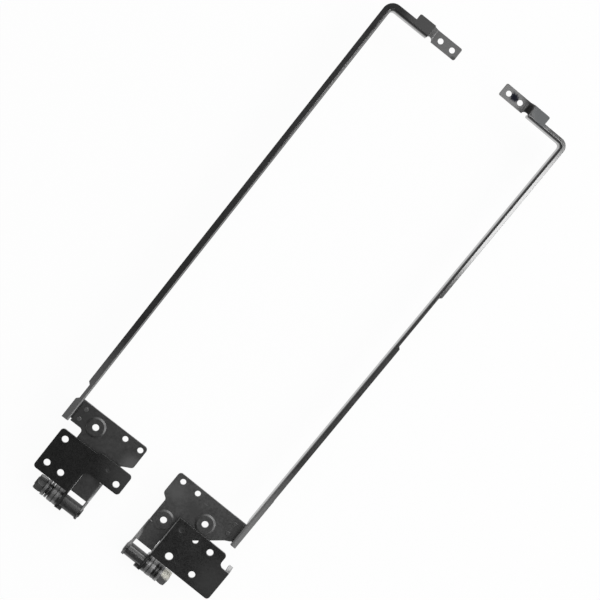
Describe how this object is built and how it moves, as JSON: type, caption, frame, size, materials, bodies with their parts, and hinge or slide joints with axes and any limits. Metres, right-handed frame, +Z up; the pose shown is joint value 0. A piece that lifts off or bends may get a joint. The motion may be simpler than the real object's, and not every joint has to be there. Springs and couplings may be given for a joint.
{
  "type": "laptop hinge pair",
  "caption": "Left and right laptop display hinges, closed: long folded rails with jogged screw feet, pressed leaves and friction barrels with washers and disc springs.",
  "frame": {"origin": "middle of the pair's footprint, on the surface it lies on", "axes": "+Z up from the lid leaves to the base leaves, +Y along the rails from the barrels to the feet"},
  "size_m": [0.0988, 0.2636, 0.0106],
  "materials": {
    "rail_black": "satin black plating",
    "lid_black": "satin black plating",
    "base_black": "satin black plating",
    "rivet_black": "satin black plating",
    "shaft_black": "oiled black oxide",
    "spring_black": "black spring steel",
    "washer_steel": "greased steel",
    "nut_steel": "dark nickel plating"
  },
  "bodies": {
    "lid_sides": {"left_rail": "rail_black", "left_lid_leaf": "lid_black", "left_rail_rivets": "rivet_black", "left_shaft": "shaft_black", "left_friction_washer": "washer_steel", "left_stop_washer": "washer_steel", "left_pressure_washer": "washer_steel", "left_disc_spring_1": "spring_black", "left_disc_spring_2": "spring_black", "left_disc_spring_3": "spring_black", "left_disc_spring_4": "spring_black", "left_thrust_washer": "washer_steel", "left_nut": "nut_steel", "right_rail": "rail_black", "right_lid_leaf": "lid_black", "right_rail_rivets": "rivet_black", "right_shaft": "shaft_black", "right_friction_washer": "washer_steel", "right_stop_washer": "washer_steel", "right_pressure_washer": "washer_steel", "right_disc_spring_1": "spring_black", "right_disc_spring_2": "spring_black", "right_disc_spring_3": "spring_black", "right_disc_spring_4": "spring_black", "right_thrust_washer": "washer_steel", "right_nut": "nut_steel"},
    "left_base": {"left_base_leaf": "base_black"},
    "right_base": {"right_base_leaf": "base_black"}
  },
  "joints": [
    {"name": "left_hinge_turn", "type": "hinge", "parent": "lid_sides", "child": "left_base", "pos_m": [-0.02672, -0.12722, 0.0044], "axis": [1, 0, 0], "range_deg": [0, 135]},
    {"name": "right_hinge_turn", "type": "hinge", "parent": "lid_sides", "child": "right_base", "pos_m": [0.01699, -0.12671, 0.0044], "axis": [0.9998, -0.0192, 0], "range_deg": [0, 135]}
  ]
}
